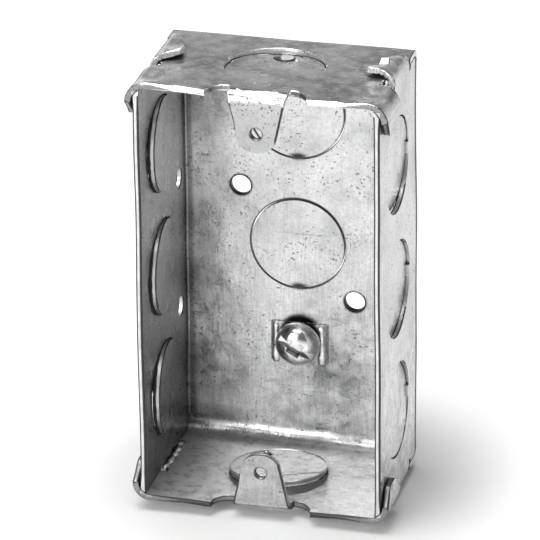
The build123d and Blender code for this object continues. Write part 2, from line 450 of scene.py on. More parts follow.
def stretch(tree, vector, factors):
    """A coordinate multiplied along each axis."""
    node = add_node(tree, "ShaderNodeVectorMath", operation="MULTIPLY")
    feed(tree, node.inputs[0], vector)
    feed(tree, node.inputs[1], factors)
    return node.outputs[0]


def lumps(tree, vector, size, detail=2.0, distortion=0.0):
    """Soft noise whose lumps are about size metres across."""
    node = add_node(tree, "ShaderNodeTexNoise")
    feed(tree, node.inputs["Vector"], vector)
    is_given = isinstance(size, bpy.types.NodeSocket)
    feed(tree, node.inputs["Scale"], maths(tree, "DIVIDE", 1.0, size) if is_given else 1 / size)
    node.inputs["Detail"].default_value = detail
    node.inputs["Distortion"].default_value = distortion
    return node.outputs["Fac"]


def between(tree, value, low, high, first=0.0, last=1.0):
    """A smooth step from first to last as value goes from low to high."""
    node = add_node(tree, "ShaderNodeMapRange", interpolation_type="SMOOTHSTEP")
    feed(tree, node.inputs["Value"], value)
    feed(tree, node.inputs["From Min"], low)
    feed(tree, node.inputs["From Max"], high)
    feed(tree, node.inputs["To Min"], first)
    feed(tree, node.inputs["To Max"], last)
    return node.outputs["Result"]


def window(tree, value, steps, top=1.0):
    """A mask that rises to top over the first two steps of a value and falls over the last two."""
    rise = between(tree, value, steps[0], steps[1], 0.0, top)
    return multiplied(tree, rise, between(tree, value, steps[2], steps[3], 1.0, 0.0))


def colour_mix(tree, amount, first, second):
    """Two colours mixed by an amount."""
    node = add_node(tree, "ShaderNodeMix", data_type="RGBA")
    feed(tree, node.inputs[0], amount)
    feed(tree, node.inputs[6], first)
    feed(tree, node.inputs[7], second)
    return node.outputs[2]


def new_group(name, inputs, outputs):
    """An empty shader node group and its two ends. An input is a coordinate, or a number with a value."""
    tree = bpy.data.node_groups.new(name, "ShaderNodeTree")
    for label, value in inputs.items():
        kind = "NodeSocketVector" if value is None else "NodeSocketFloat"
        socket = tree.interface.new_socket(label, in_out="INPUT", socket_type=kind)
        if value is not None:
            socket.default_value = value
    for label in outputs:
        tree.interface.new_socket(label, in_out="OUTPUT", socket_type="NodeSocketFloat")
    start = add_node(tree, "NodeGroupInput")
    end = add_node(tree, "NodeGroupOutput")
    return tree, start.outputs, end.inputs


def use_group(tree, group, **values):
    """Places a group in a material, with its own values."""
    node = add_node(tree, "ShaderNodeGroup", node_tree=group)
    for label, value in values.items():
        feed(tree, node.inputs[label], value)
    return node.outputs


# The zinc's patterns: how large each is, how finely broken, how twisted, and where its noise is cut off.
zinc_patterns = {
    "Patches": (16 * mm, 1.0, 0.4, (0.3, 0.7)),
    "Blots": (2.8 * mm, 4.0, 0.2, (0.3, 0.7)),
    "Grain": (0.55 * mm, 1.0, 0.0, (0.25, 0.75)),
}
streak_size = 0.45 * mm
streak_squeeze = 0.07
streak_cut = (0.3, 0.7)
level_facing = 0.7
speck_softness = 0.05
scuff_turns = (8, 71, 97)
scuff_size = 3.4 * mm
scuff_squeeze = 0.04
scuff_gap_size = 9 * mm
scuff_gap_cut = (0.5, 0.62)
crevice_shade_cut = (0.25, 0.85)
# The places where edges get painted highlights or painted shade of their own.
top_edge_z = 48.6 * mm
top_edge_x = 27.9 * mm
panel_edge_z = (49.6 * mm, 51.5 * mm)
panel_edge_y = -33 * mm
flap_edge_x = 28.3 * mm
low_disc_z = -44 * mm
low_disc_x = 12 * mm


def mottle_group():
    """Zinc's uneven bloom: broad patches, small blots and a fine grain, each about a half."""
    tree, given, out = new_group("zinc_mottle", {"Vector": None}, zinc_patterns)
    for label, (size, detail, distortion, cut) in zinc_patterns.items():
        pattern = lumps(tree, given["Vector"], size, detail, distortion)
        feed(tree, out[label], between(tree, pattern, *cut))
    return tree


def streak_group():
    """Fine lines left by the rolls, along the sheet as it was before folding."""
    tree, given, out = new_group("rolling_streaks", {"Vector": None}, ["Streaks"])
    upward = maths(tree, "ABSOLUTE", facing_axes(tree)[2])
    choose = add_node(tree, "ShaderNodeMix", data_type="VECTOR")
    feed(tree, choose.inputs[0], maths(tree, "GREATER_THAN", upward, level_facing))
    feed(tree, choose.inputs[4], stretch(tree, given["Vector"], (1, 1, streak_squeeze)))
    feed(tree, choose.inputs[5], stretch(tree, given["Vector"], (1, streak_squeeze, 1)))
    streaks = lumps(tree, choose.outputs[1], streak_size, detail=3.0, distortion=0.3)
    feed(tree, out["Streaks"], between(tree, streaks, *streak_cut))
    return tree


def speck_group():
    """Uneven specks. Size is how far apart they are, and a higher Level leaves fewer and smaller ones."""
    tree, given, out = new_group("specks", {"Vector": None, "Size": 1 * mm, "Level": 0.68}, ["Mask"])
    speckle = lumps(tree, given["Vector"], given["Size"], distortion=0.15)
    full = maths(tree, "ADD", given["Level"], speck_softness)
    feed(tree, out["Mask"], between(tree, speckle, given["Level"], full))
    return tree


def scratch_group():
    """Long thin scuffs, from the contour lines of a noise stretched along one direction."""
    tree, given, out = new_group("scratches", {"Vector": None, "Width": 0.01}, ["Mask"])
    masks = []
    for turn in scuff_turns:
        spin = add_node(tree, "ShaderNodeVectorRotate", rotation_type="EULER_XYZ")
        feed(tree, spin.inputs["Vector"], given["Vector"])
        spin.inputs["Rotation"].default_value = [math.radians(turn)] * 3
        lines = lumps(tree, stretch(tree, spin.outputs[0], (scuff_squeeze, 1, 1)), scuff_size, detail=1.0)
        off_line = maths(tree, "ABSOLUTE", maths(tree, "SUBTRACT", lines, 0.5))
        thin = between(tree, off_line, 0.0, given["Width"], 1.0, 0.0)
        broken = between(tree, lumps(tree, spin.outputs[0], scuff_gap_size), *scuff_gap_cut)
        masks.append(multiplied(tree, thin, broken))
    feed(tree, out["Mask"], highest_of(tree, *masks))
    return tree


def crevice_shade_group():
    """Painted shade in the seams, slits and corners, darker where a spot is more hidden."""
    tree, given, out = new_group("crevice_shade", {"Reach": 2 * mm}, ["Mask"])
    hollow = add_node(tree, "ShaderNodeAmbientOcclusion", samples=8)
    feed(tree, hollow.inputs["Distance"], given["Reach"])
    feed(tree, out["Mask"], between(tree, hollow.outputs["AO"], *crevice_shade_cut, 1.0, 0.0))
    return tree


def edge_place_group():
    """Where the edges of the top panel and its tabs, of the panels' rims, flaps and bottom disc are."""
    tree, given, out = new_group("edge_places", {"Vector": None}, ["Top", "Panels", "Flaps", "Disc"])
    across, behind, height = along_axes(tree, given["Vector"])
    aside = maths(tree, "ABSOLUTE", across)
    far_out = maths(tree, "ABSOLUTE", height)
    is_top = maths(tree, "GREATER_THAN", height, top_edge_z)
    is_inward = maths(tree, "LESS_THAN", aside, top_edge_x)
    feed(tree, out["Top"], multiplied(tree, is_top, is_inward))
    is_panel = maths(tree, "GREATER_THAN", far_out, panel_edge_z[0])
    is_under_tab = maths(tree, "LESS_THAN", far_out, panel_edge_z[1])
    is_front = maths(tree, "LESS_THAN", behind, panel_edge_y)
    feed(tree, out["Panels"], multiplied(tree, is_panel, is_under_tab, is_front))
    feed(tree, out["Flaps"], maths(tree, "GREATER_THAN", aside, flap_edge_x))
    is_low = maths(tree, "LESS_THAN", height, low_disc_z)
    is_middle = maths(tree, "LESS_THAN", aside, low_disc_x)
    is_inside = maths(tree, "GREATER_THAN", behind, panel_edge_y)
    feed(tree, out["Disc"], multiplied(tree, is_low, is_middle, is_inside))
    return tree


# Dark marks and painted shade on the back, in mm: across, up, radius of the ring it is (none for a spot),
# how far from there it is black and where it ends, how much longer it is across than up, and how dark. They
# are painted shade and dark reflection under the screw's head, dark rims round the fixing holes, the slits
# of the two knockouts painted dark as shade, their torn ties, a scratch, and dark blotches low down and a
# darker strip down the left side, painted shade.
back_marks_and_shade = (
    (0.4, -23.0, 0, 4.3, 5.6, 1, 0.97),
    (-13.47, 13.47, 0, 2.5, 3.1, 1, 0.97),
    (13.47, -13.47, 0, 2.5, 3.1, 1, 0.97),
    (0.0, 0.0, 11.25, 0.14, 0.42, 1, 0.88),
    (0.0, 32.6, 11.25, 0.14, 0.42, 1, 0.88),
    (0.2, -10.8, 0, 0.35, 1.3, 2.4, 0.92),
    (0.2, 21.8, 0, 0.35, 1.3, 2.4, 0.92),
    (1.0, 2.6, 0, 0.0, 0.24, 44, 0.3),
    (8.0, -32.4, 0, 0.0, 5.0, 1.7, 0.3),
    (6.3, -41.2, 0, 0.0, 3.2, 3.5, 0.25),
    (-20.1, -39.1, 0, 0.0, 4.5, 1.6, 0.3),
    (-19.4, -45.9, 0, 0.0, 4.0, 3.0, 0.5),
    (-25.5, -10.6, 0, 0.0, 9.0, 0.7, 0.45),
    (-25.5, 5.0, 0, 0.0, 8.0, 0.7, 0.35),
    (-24.0, 33.0, 0, 0.0, 12.0, 1.0, 0.4),
    (-25.0, -30.0, 0, 0.0, 10.0, 0.7, 0.45),
)
back_mark_depth = 3 * sheet_thickness


def back_mark_and_shade_group():
    """Where the dark marks and the painted shade of the back are."""
    tree, given, out = new_group("back_marks_and_shade", {"Vector": None}, ["Mask"])
    right_of, behind, height = along_axes(tree, given["Vector"])
    marks_and_shade = []
    for across, up, ring, black, end, longer, strength in back_marks_and_shade:
        aside = maths(tree, "DIVIDE", maths(tree, "SUBTRACT", right_of, across * mm), longer)
        above = maths(tree, "SUBTRACT", height, up * mm)
        squares = maths(tree, "ADD", maths(tree, "POWER", aside, 2), maths(tree, "POWER", above, 2))
        from_ring = maths(tree, "SUBTRACT", maths(tree, "SQRT", squares), ring * mm)
        away = maths(tree, "ABSOLUTE", from_ring)
        marks_and_shade.append(between(tree, away, black * mm, end * mm, strength, 0.0))
    is_back = maths(tree, "GREATER_THAN", behind, -back_mark_depth)
    feed(tree, out["Mask"], multiplied(tree, highest_of(tree, *marks_and_shade), is_back))
    return tree


zinc_mottle = mottle_group()
rolling_streaks = streak_group()
specks = speck_group()
scratches = scratch_group()
crevice_shade = crevice_shade_group()
edge_places = edge_place_group()
back_mark_and_shade_places = back_mark_and_shade_group()


def new_material(name):
    """A material with its node tree, its shader and the piece's own coordinates."""
    material = bpy.data.materials.new(name)
    material.use_nodes = True
    tree = material.node_tree
    where = add_node(tree, "ShaderNodeTexCoord").outputs["Object"]
    return material, tree, tree.nodes["Principled BSDF"].inputs, where


def raise_surface(tree, shader, height, distance):
    """Bumps the shader's normal by a height."""
    bump = add_node(tree, "ShaderNodeBump")
    bump.inputs["Distance"].default_value = distance
    feed(tree, bump.inputs["Height"], height)
    feed(tree, shader["Normal"], bump.outputs[0])


# Where shade is painted, as dark lines on the outsides of the bends. A bend is shaded where its skin faces
# along an axis between steps of how much it does, and the outline and the fold lie between steps of place:
# start, full, still full, end.
left_bend_facing = (-0.95, -0.82, -0.72, -0.45)
right_bend_facing = (0.3, 0.6, 0.9, 0.99)
rear_bend_facing = (0.1, 0.25, 0.4, 0.6)
outline_y = (-3.8 * mm, -3.0 * mm, -2.4 * mm, -1.8 * mm)
fold_y = (-10 * mm, -5.5 * mm, -3.2 * mm, -1.8 * mm)
bend_shade_strength = 0.9
right_bend_shade_strength = 0.3
bend_end_z = 43 * mm
rear_bend_y = -4 * mm
right_outside_x = 27.4 * mm
left_inside_x = -23 * mm
fold_z = -45 * mm
# Shades and shares that change from one place to another: the two places, and how strong each end is.
left_wall_shade = (-48 * mm, 40 * mm, 0.8, 0.42)
fold_shade = (-5 * mm, 26 * mm, 0.75, 0.25)
seam_shade = (-25.6 * mm, -24.4 * mm, 0.6, 0.0)
low_corner_shade = (-26 * mm, -9 * mm, 0.6, 0.0)
streak_share = (-14 * mm, 14 * mm, 0.32, 0.1)
low_bloom_and_light_share = (-30 * mm, 0.0, 0.8, 0.0)
# How much a face has to face along an axis to count as flat across it.
square_on = (0.7, 0.95)
end_panel_facing = (0.75, 0.95)
ear_facing = (0.8, 0.97)
ear_to_y = -35 * mm

# The tones of the zinc, the marks on it, its painted shade and light, and how strong each is.
dull_zinc = (0.48, 0.485, 0.485, 1)
clear_zinc = (0.76, 0.765, 0.76, 1)
bloom_and_light_white = (1, 1, 0.995, 1)
flake_white = (1, 1, 1, 1)
streak_grey = (0.25, 0.255, 0.26, 1)
grain_grey = (0.36, 0.36, 0.365, 1)
ear_shade_grey = (0.3, 0.3, 0.305, 1)
scuff_grey = (0.3, 0.3, 0.31, 1)
shaded_grey = (0.09, 0.09, 0.092, 1)
dirt_and_shade_black = (0.06, 0.06, 0.06, 1)
mark_and_shade_black = (0.012, 0.012, 0.012, 1)
bloom_and_light_share = (0.5, 0.9)
grain_share = 0.3
flake_share = 0.8
ear_shade_share = 0.5
scuff_share = 0.5
dirt_share = 0.8
end_panel_dirt = 0.35
crevice_shade_share = 0.75
fine_dirt_size = 0.6 * mm
fine_dirt_level = 0.62
dirt_size = 1.3 * mm
dirt_level = 0.69
dirt_patch_size = 7 * mm
dirt_patch_share = (0.4, 0.6, 0.2, 1.0)
flake_size = 0.8 * mm
flake_level = 0.6
flake_stretch = (0.35, 1, 1)
scuff_width = 0.006
sheet_shade_reach = 2.5 * mm
# How metallic and how rough the sheet is, and its relief.
panel_metal = (0.85, 0.4)
shaded_bend_metal = (0.3, 0.85, 1.0, 0.1)
sheet_roughness = 0.24
blot_roughness = 0.16
blot_relief = 0.12
grain_relief = 0.04
sheet_relief = 0.3 * mm


def ear_mask(tree, where):
    """Where the two ears are: the upright skin just behind the rim."""
    upright = between(tree, maths(tree, "ABSOLUTE", facing_axes(tree)[1]), *ear_facing)
    return multiplied(tree, upright, maths(tree, "LESS_THAN", along_axes(tree, where)[1], ear_to_y))


def painted_shade_mask(tree, where):
    """Where shade is painted: dark lines on the outsides of the bends, and shade inside the box."""
    across, behind, height = along_axes(tree, where)
    facing_x, facing_y, facing_z = facing_axes(tree)
    is_low = maths(tree, "LESS_THAN", height, fold_z)
    is_rear = maths(tree, "GREATER_THAN", behind, rear_bend_y)
    is_end = maths(tree, "GREATER_THAN", maths(tree, "ABSOLUTE", height), bend_end_z)
    is_outside = maths(tree, "GREATER_THAN", across, right_outside_x)
    is_left = maths(tree, "LESS_THAN", across, left_inside_x)
    left_bend = multiplied(tree, window(tree, facing_x, left_bend_facing, bend_shade_strength), is_end)
    right_bend = multiplied(tree, window(tree, facing_x, right_bend_facing, right_bend_shade_strength), is_end)
    rear_bend = multiplied(tree, window(tree, facing_y, rear_bend_facing, bend_shade_strength), is_rear)
    outline = multiplied(tree, window(tree, behind, outline_y, bend_shade_strength), is_outside)
    left_shade = between(tree, height, *left_wall_shade)
    left_wall = multiplied(tree, left_shade, is_left, between(tree, facing_x, *square_on))
    fold = multiplied(tree, window(tree, behind, fold_y), is_low, between(tree, across, *fold_shade))
    seam = multiplied(tree, between(tree, across, *seam_shade), is_rear)
    low_shade = between(tree, across, *low_corner_shade)
    low_corner = multiplied(tree, low_shade, is_low, between(tree, facing_z, *square_on))
    bends = highest_of(tree, left_bend, right_bend, rear_bend, outline)
    return bends, highest_of(tree, left_wall, fold, seam, low_corner)


def zinc_sheet():
    """The zinc coat of the sheet: a mottled satin grey with specks, roll lines and scuffs. Shade is painted
    on the bends, the ears, the seams and corners and inside the box, and light low down and on the bottom.
    """
    material, tree, shader, where = new_material("zinc_sheet")
    height = along_axes(tree, where)[2]
    is_end = between(tree, maths(tree, "ABSOLUTE", facing_axes(tree)[2]), *end_panel_facing)
    is_wall = maths(tree, "SUBTRACT", 1.0, is_end)
    is_bottom = multiplied(tree, is_end, maths(tree, "LESS_THAN", height, 0.0))
    mottle = use_group(tree, zinc_mottle, Vector=where)
    streaks = use_group(tree, rolling_streaks, Vector=where)["Streaks"]
    fine_dirt = use_group(tree, specks, Vector=where, Size=fine_dirt_size, Level=fine_dirt_level)["Mask"]
    coarse_dirt = use_group(tree, specks, Vector=where, Size=dirt_size, Level=dirt_level)["Mask"]
    along_front = stretch(tree, where, flake_stretch)
    flakes = use_group(tree, specks, Vector=along_front, Size=flake_size, Level=flake_level)["Mask"]
    scuffs = use_group(tree, scratches, Vector=where, Width=scuff_width)["Mask"]
    # Painted shade in the seams and corners, in the same black as the dirt.
    crevice_shade_mask = use_group(tree, crevice_shade, Reach=sheet_shade_reach)["Mask"]
    marks_and_shade = use_group(tree, back_mark_and_shade_places, Vector=where)["Mask"]
    # Painted shade: dark lines on the outsides of the bends, and shade inside the box.
    bends, shaded = painted_shade_mask(tree, where)
    dirt_patches = between(tree, lumps(tree, where, dirt_patch_size, detail=3.0), *dirt_patch_share)
    cleaner_ends = between(tree, is_end, 0.0, 1.0, 1.0, end_panel_dirt)
    dirt = multiplied(tree, highest_of(tree, coarse_dirt, fine_dirt), dirt_patches, cleaner_ends)
    # Zinc bloom, made whiter on the bottom and low on the walls as painted light.
    bloomed_and_lit = highest_of(tree, is_bottom, between(tree, height, *low_bloom_and_light_share))
    layers = (
        (multiplied(tree, mottle["Blots"], between(tree, bloomed_and_lit, 0.0, 1.0, *bloom_and_light_share)), bloom_and_light_white),
        (multiplied(tree, streaks, between(tree, height, *streak_share), is_wall), streak_grey),
        (multiplied(tree, mottle["Grain"], grain_share), grain_grey),
        (multiplied(tree, flakes, is_end, flake_share), flake_white),
        # Painted shade on the ears.
        (multiplied(tree, ear_mask(tree, where), ear_shade_share), ear_shade_grey),
        (multiplied(tree, scuffs, is_wall, scuff_share), scuff_grey),
        (highest_of(tree, bends, shaded), shaded_grey),
        (multiplied(tree, dirt, dirt_share), dirt_and_shade_black),
        (multiplied(tree, crevice_shade_mask, crevice_shade_share), dirt_and_shade_black),
        (marks_and_shade, mark_and_shade_black),
    )
    tone = colour_mix(tree, mottle["Patches"], dull_zinc, clear_zinc)
    for mask, colour in layers:
        tone = colour_mix(tree, mask, tone, colour)
    feed(tree, shader["Base Color"], tone)
    metal = between(tree, is_bottom, 0.0, 1.0, *panel_metal)
    feed(tree, shader["Metallic"], multiplied(tree, metal, between(tree, bends, *shaded_bend_metal)))
    shader["Specular IOR Level"].default_value = 0.0
    roughness = maths(tree, "MULTIPLY_ADD", mottle["Blots"], blot_roughness, sheet_roughness)
    feed(tree, shader["Roughness"], roughness)
    relief = maths(tree, "MULTIPLY_ADD", mottle["Blots"], blot_relief, mottle["Patches"])
    relief = maths(tree, "MULTIPLY_ADD", mottle["Grain"], grain_relief, relief)
    raise_surface(tree, shader, relief, sheet_relief)
    return material


# The punched edges: the tones of their metal, lit and shaded copies of it painted as highlights and shade,
# and what dirt, painted shade in hollows and rubbing do to it.
highlight_white_zinc = (0.97, 0.97, 0.97, 1)
pale_zinc = (0.74, 0.74, 0.74, 1)
shade_grey_zinc = (0.3, 0.3, 0.303, 1)
outline_shade_steel = (0.08, 0.08, 0.082, 1)
shadow_black_steel = (0.04, 0.04, 0.04, 1)
edge_blot_black = (0.05, 0.05, 0.05, 1)
edge_shade_black = (0.02, 0.02, 0.02, 1)
edge_blot_share = 0.2
edge_shade_share = 0.85
edge_shade_reach = 0.8 * mm
edge_grain_roughness = 0.2
edge_relief = 0.02 * mm
rubbed_roughness = 0.2
sheared_roughness = 0.3
dark_edge_matte = 0.9


def bare_edge(name, colour, places, roughness, matte=0.0):
    """A punched edge, rubbed and a little grainy, with painted highlights or painted shade as other colours
    in some places, never matte there.
    """
    material, tree, shader, where = new_material(name)
    mottle = use_group(tree, zinc_mottle, Vector=where)
    # Painted shade in the slits and hollows that the edges face.
    crevice_shade_mask = use_group(tree, crevice_shade, Reach=edge_shade_reach)["Mask"]
    marks_and_shade = use_group(tree, back_mark_and_shade_places, Vector=where)["Mask"]
    tone = colour
    polished = 1 - matte
    if places:
        masks = use_group(tree, edge_places, Vector=where)
    for label, place_colour in places:
        tone = colour_mix(tree, masks[label], tone, place_colour)
        if matte:
            polished = highest_of(tree, polished, masks[label])
    layers = (
        (multiplied(tree, mottle["Blots"], edge_blot_share), edge_blot_black),
        (multiplied(tree, crevice_shade_mask, edge_shade_share), edge_shade_black),
        (marks_and_shade, mark_and_shade_black),
    )
    for mask, layer_colour in layers:
        tone = colour_mix(tree, mask, tone, layer_colour)
    feed(tree, shader["Base Color"], tone)
    feed(tree, shader["Metallic"], polished)
    shader["Specular IOR Level"].default_value = 0.0
    grainy = maths(tree, "MULTIPLY_ADD", mottle["Grain"], edge_grain_roughness, roughness)
    feed(tree, shader["Roughness"], grainy)
    raise_surface(tree, shader, mottle["Grain"], edge_relief)
    return material


# Painted highlights on the rounded edges of the top and the bottom disc, painted dark outlines on the other
# rounded edges, and painted shade on the sheared faces of the panels' front edges, the flaps and the bottom
# disc.
rounded_highlight_places = (("Top", highlight_white_zinc), ("Disc", highlight_white_zinc))
sheared_shade_places = (("Panels", shade_grey_zinc), ("Flaps", shade_grey_zinc), ("Disc", shade_grey_zinc))
box = place(
    "pressed_box",
    pressed_box(),
    "box",
    "galvanised_steel",
    zinc_sheet(),
    bare_edge("rounded_edge", outline_shade_steel, rounded_highlight_places, rubbed_roughness, dark_edge_matte),
    bare_edge("sheared_face", pale_zinc, sheared_shade_places, sheared_roughness),
)
levelling = box.modifiers.new("flat faces stay flat", "WEIGHTED_NORMAL")
levelling.weight = flat_face_weight
levelling.keep_sharp = True
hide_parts("box_body")

# The burrs
# Torn, turned-up and crumpled metal of the same sheet: the lips and torn edges that the punch leaves
# round the standing discs, the top knockout and its pry hole, the crumpled lips of the slots that the
# tabs are folded through, and the rolled sides of the screw's pad. The torn edges are black, painted shade
# where the gaps by the discs are dark, and the lips are white, painted highlight.

# A ridge of metal: its radius, how uneven it is, and how long its lumps are.
side_disc_ridge = (0.38 * mm, 0.5, 1.5 * mm)
low_disc_ridge = (0.22 * mm, 0.5, 1.5 * mm)
low_disc_lip = (0.26 * mm, 0.5, 1.5 * mm)
top_lip = (0.26 * mm, 0.4, 1.5 * mm)
pry_hole_ridge = (0.2 * mm, 0.3, 1.5 * mm)
slot_lip = (0.75 * mm, 1.2, 1.3 * mm)
pad_bar = (1.1 * mm, 0.35, 3 * mm)
ridge_sides = 8
ridge_tip = 0.01

# Where the discs are, and which way they are pushed.
to_right = Vector((1, 0, 0))
to_front = Vector((0, -1, 0))
to_top = Vector((0, 0, 1))
side_disc_x = -27.5 * mm
end_disc_z = 50.5 * mm
disc_reach = 5 * mm
rim_band = 0.13 * mm
rim_steps = 60

top_lip_from_y = -18.5 * mm
top_lip_turns = (12, 168)
top_lip_steps = 60
pry_hole_middle = Vector((0, -11.8 * mm, box_half_height - 1.0 * mm))
pry_hole_radius = 2.4 * mm
pry_hole_turns = (190, 350)
pry_hole_steps = 24
slot_lip_x = 26.2 * mm
slot_lip_y = (-24.2 * mm, -9.6 * mm)
slot_lip_z = 50.2 * mm
slot_lip_steps = 40
pad_bars_x = (-5.1 * mm, 5.83 * mm)
pad_bar_y = -2.0 * mm
pad_bar_z = (-30.1 * mm, -19.8 * mm)
pad_bar_steps = 24
bright_roughness = 0.25
torn_roughness = 0.35


def disc_rims(middle, facing):
    """The two rims of a pushed disc, as rings of points: the one on the side it is pushed to comes first."""
    first = facing.orthogonal().normalized()
    second = facing.cross(first)
    by_step = {}
    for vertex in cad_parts["box_body"].data.vertices:
        away = vertex.co - middle
        across = Vector((away.dot(first), away.dot(second)))
        if abs(across.length - knockout_radius) < rim_band and abs(away.dot(facing)) < disc_reach:
            step = round(math.atan2(across.y, across.x) / math.tau * rim_steps) % rim_steps
            by_step.setdefault(step, []).append(vertex.co.copy())
    near = []
    far = []
    for step in sorted(by_step):
        spots = sorted(by_step[step], key=lambda spot: spot.dot(facing))
        if (spots[-1] - spots[0]).dot(facing) > sheet_thickness / 2:
            near.append(spots[-1])
            far.append(spots[0])
    return near, far


def add_ridge(shape, path, facing, ridge, is_closed=False):
    """Adds a round ridge of uneven thickness along a path, with rounded ends unless it is closed."""
    radius, unevenness, lump = ridge
    count = len(path)
    rings = []
    for index, spot in enumerate(path):
        before = path[index - 1] if is_closed else path[max(index - 1, 0)]
        after = path[(index + 1) % count] if is_closed else path[min(index + 1, count - 1)]
        side = (after - before).cross(facing).normalized()
        thickness = radius
        if not is_closed:
            to_end = min((spot - path[0]).length, (spot - path[-1]).length) / radius
            thickness *= math.sqrt(max(1 - max(1 - to_end, 0) ** 2, ridge_tip))
        ring = []
        for step in range(ridge_sides):
            turn = math.tau * step / ridge_sides
            out = side * math.cos(turn) + facing * math.sin(turn)
            uneven = 1 + unevenness * noise.noise((spot + out * radius) / lump)
            ring.append(shape.verts.new(press(spot) + out * (thickness * uneven)))
        rings.append(ring)
    following = rings[1:] + rings[:1] if is_closed else rings[1:]
    for ring, next_ring in zip(rings, following):
        for step in range(ridge_sides):
            beside = (step + 1) % ridge_sides
            shape.faces.new((ring[step], ring[beside], next_ring[beside], next_ring[step]))
    if not is_closed:
        shape.faces.new(rings[0])
        shape.faces.new(rings[-1])


def ridge_mesh(name, shape):
    """A finished mesh of ridges."""
    bmesh.ops.recalc_face_normals(shape, faces=shape.faces)
    for face in shape.faces:
        face.smooth = True
    return finished_mesh(name, shape)


def straight_path(start, end, steps):
    """Evenly spaced points from start to end."""
    return [start.lerp(end, step / steps) for step in range(steps + 1)]


def arc_path(middle, radius, turns, steps):
    """Points along an arc that lies level, between two turns in degrees."""
    path = []
    for step in range(steps + 1):
        turn = math.radians(turns[0] + (turns[1] - turns[0]) * step / steps)
        path.append(middle + Vector((radius * math.cos(turn), radius * math.sin(turn), 0)))
    return path


bright_ridges = bmesh.new()
torn_shadow_ridges = bmesh.new()
for height in reversed(side_knockout_heights):
    near, far = disc_rims(Vector((side_disc_x, knockout_y, height)), to_right)
    add_ridge(torn_shadow_ridges, far, to_right, side_disc_ridge, is_closed=True)
near, far = disc_rims(Vector((0, knockout_y, -end_disc_z)), to_top)
add_ridge(torn_shadow_ridges, far, to_top, low_disc_ridge, is_closed=True)
add_ridge(bright_ridges, near, to_top, low_disc_lip, is_closed=True)
near, far = disc_rims(Vector((0, knockout_y, end_disc_z)), to_top)
for side in (-1, 1):
    half = [spot for spot in near if spot.y > top_lip_from_y and spot.x * side > pry_hole_radius]
    half.sort(key=lambda spot: spot.x)
    add_ridge(bright_ridges, half, to_top, top_lip)
opening_middle = Vector((0, knockout_y, box_half_height))
opening_radius = knockout_radius + knockout_slit + top_lip[0] / 2
opening_path = arc_path(opening_middle, opening_radius, top_lip_turns, top_lip_steps)
add_ridge(bright_ridges, opening_path, to_top, top_lip)
pry_hole_path = arc_path(pry_hole_middle, pry_hole_radius, pry_hole_turns, pry_hole_steps)
add_ridge(torn_shadow_ridges, pry_hole_path, to_top, pry_hole_ridge)
for side in (-1, 1):
    for end in (-1, 1):
        ends = [Vector((side * slot_lip_x, y, end * slot_lip_z)) for y in slot_lip_y]
        add_ridge(bright_ridges, straight_path(*ends, slot_lip_steps), to_top, slot_lip)
for x in pad_bars_x:
    ends = [Vector((x, pad_bar_y, z)) for z in pad_bar_z]
    add_ridge(bright_ridges, straight_path(*ends, pad_bar_steps), to_front, pad_bar)
# White lips as painted highlight, and black torn edges as painted shade.
bright_lip = bare_edge("bright_lip", highlight_white_zinc, (), bright_roughness)
torn_edge_shadow = bare_edge("torn_edge_shadow", shadow_black_steel, (), torn_roughness, dark_edge_matte)
place("bright_lips", ridge_mesh("bright_lips", bright_ridges), "box", "galvanised_steel", bright_lip)
place("torn_edges", ridge_mesh("torn_edges", torn_shadow_ridges), "box", "galvanised_steel", torn_edge_shadow)

# The earthing screw
# A turned and plated steel screw with a tall domed head, a driver slot and a square recess in it, and a
# short neck under it. It is driven into the raised pad, so only its head shows from the front.

screw_axis_x = 0.5 * mm
screw_axis_z = -24.1 * mm
seat_y = -2.8 * mm
shank_end_y = -0.3 * mm
slot_turn = math.radians(28)
thread_pitch = 0.8 * mm
thread_depth = 0.35 * mm
thread_rows = 8
screw_sides = 72
# Radius and distance in front of the seat, from the crown of the head to the shank, in mm.
head_profile = (
    (0.5, 4.89), (1.4, 4.83), (2.3, 4.67), (3.1, 4.4), (3.8, 4.0), (4.45, 3.44), (4.92, 2.8), (5.2, 2.15),
    (5.3, 1.55), (5.3, 1.1), (5.2, 0.88), (5.0, 0.8), (3.75, 0.8), (3.7, 0.7), (3.7, 0.05), (3.62, 0.0),
    (2.42, 0.0),
)
crown = 4.9 * mm
shank_radius = 2.34 * mm
# What is cut into the head: its length, width and depth.
head_cuts = {
    "driver_slot": (12 * mm, 1.5 * mm, 1.4 * mm),
    "square_recess": (3.3 * mm, 3.3 * mm, 2.0 * mm),
}
softened_angle = math.radians(50)
softened_width = 0.1 * mm
dull_plating = (0.66, 0.66, 0.66, 1)
clear_plating = (0.9, 0.9, 0.895, 1)
screw_dirt_grey = (0.2, 0.2, 0.2, 1)
screw_shade_black = (0.08, 0.08, 0.08, 1)
screw_dirt_size = 0.9 * mm
screw_dirt_level = 0.68
screw_dirt_share = 0.4
screw_shade_reach = 1.2 * mm
screw_shade_share = 0.7
plating_roughness = 0.14
plating_blot_roughness = 0.1
plating_relief = 0.015 * mm


def lathe(rows, sides):
    """A closed turned shape from rows of (radius of each side, distance along the axis)."""
    shape = bmesh.new()
    rings = []
    for radius_at, along in rows:
        ring = []
        for side in range(sides):
            turn = math.tau * side / sides
            radius = radius_at(turn)
            ring.append(shape.verts.new((radius * math.cos(turn), radius * math.sin(turn), along)))
        rings.append(ring)
    for upper, lower in zip(rings, rings[1:]):
        for side in range(sides):
            following = (side + 1) % sides
            shape.faces.new((upper[side], lower[side], lower[following], upper[following]))
    shape.faces.new(rings[0])
    shape.faces.new(rings[-1][::-1])
    for face in shape.faces:
        face.smooth = True
    return shape


